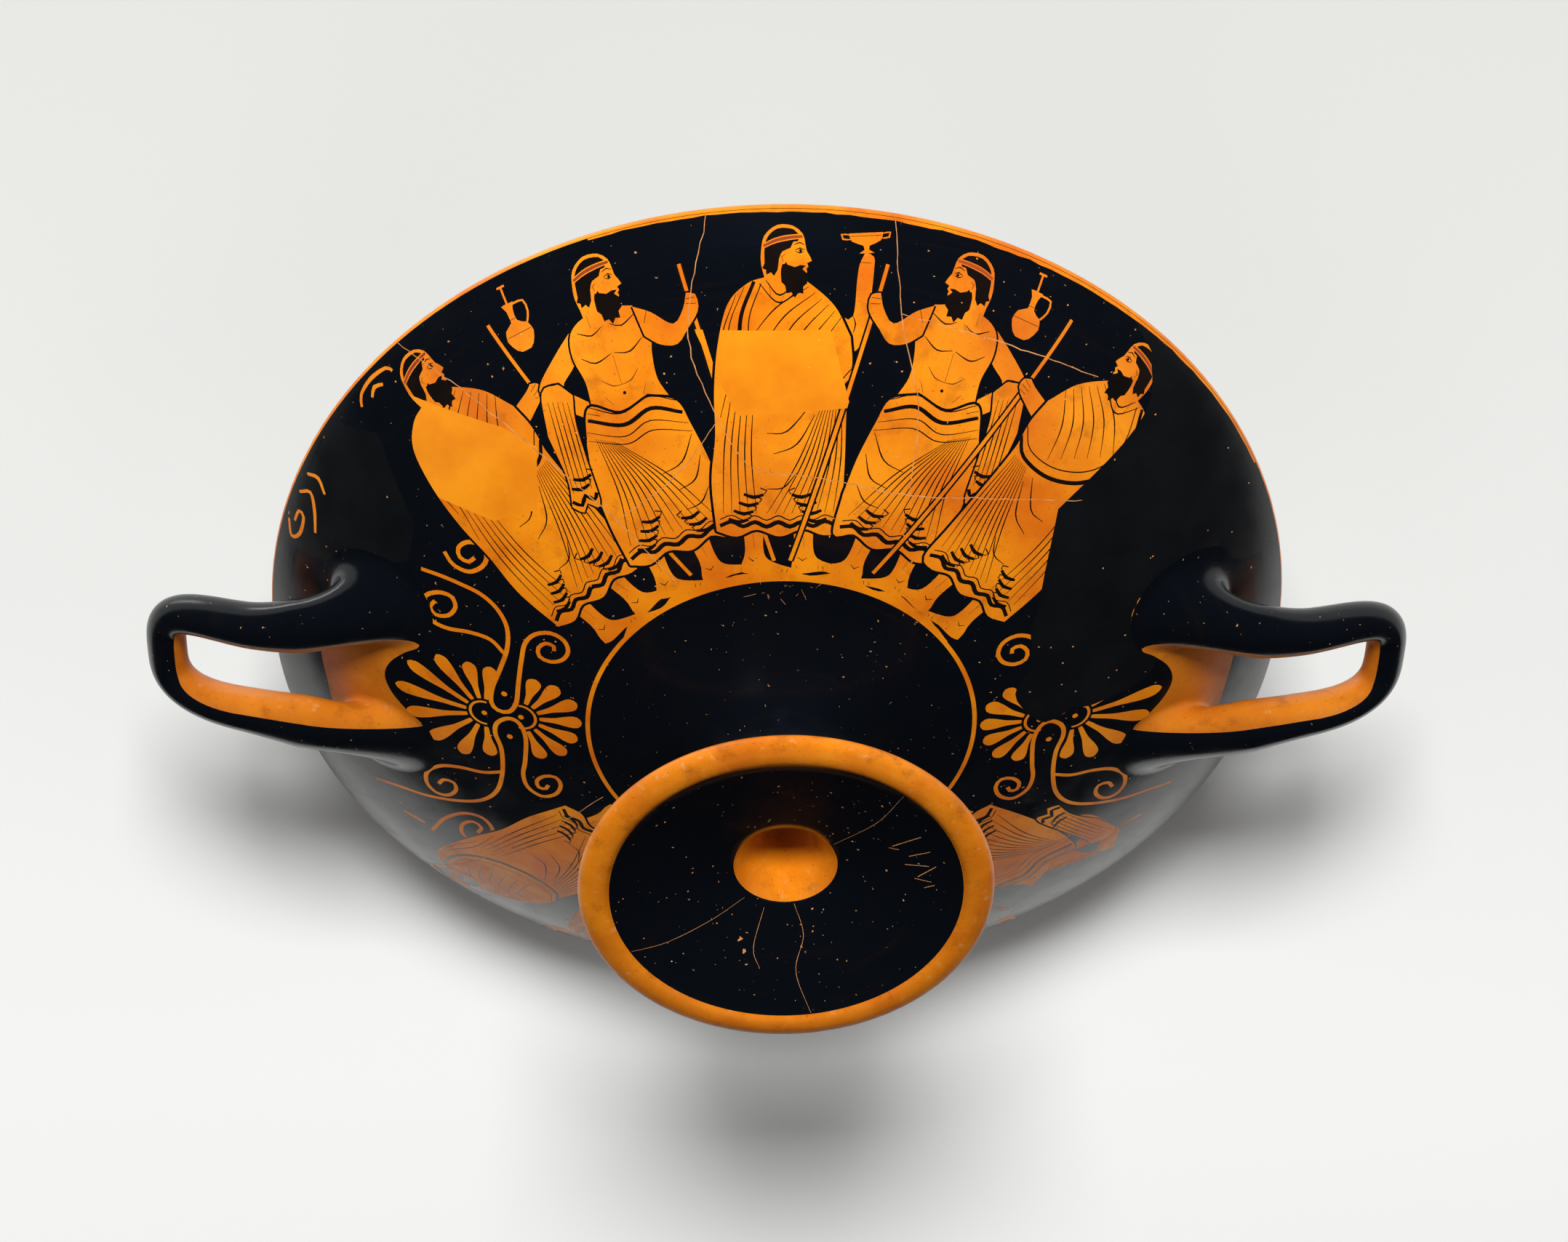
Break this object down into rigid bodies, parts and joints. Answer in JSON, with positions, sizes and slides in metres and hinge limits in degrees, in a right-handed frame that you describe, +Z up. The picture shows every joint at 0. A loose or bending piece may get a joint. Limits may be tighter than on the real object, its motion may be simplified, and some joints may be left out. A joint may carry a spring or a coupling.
{
  "type": "greek kylix cup",
  "caption": "Wide, shallow stemmed drinking cup of fired clay with loop handles, black gloss and reserved red-figure decoration, worn, cracked and mended.",
  "frame": {"origin": "on the cup's axis, in the plane that its foot stands on", "axes": "+Z up along the cup's axis, +X towards a handle, -Y the side with the better kept figures"},
  "size_m": [0.396, 0.32, 0.128],
  "materials": {
    "glossed_clay": null
  },
  "bodies": {
    "root": {"cup": "glossed_clay"}
  },
  "joints": []
}
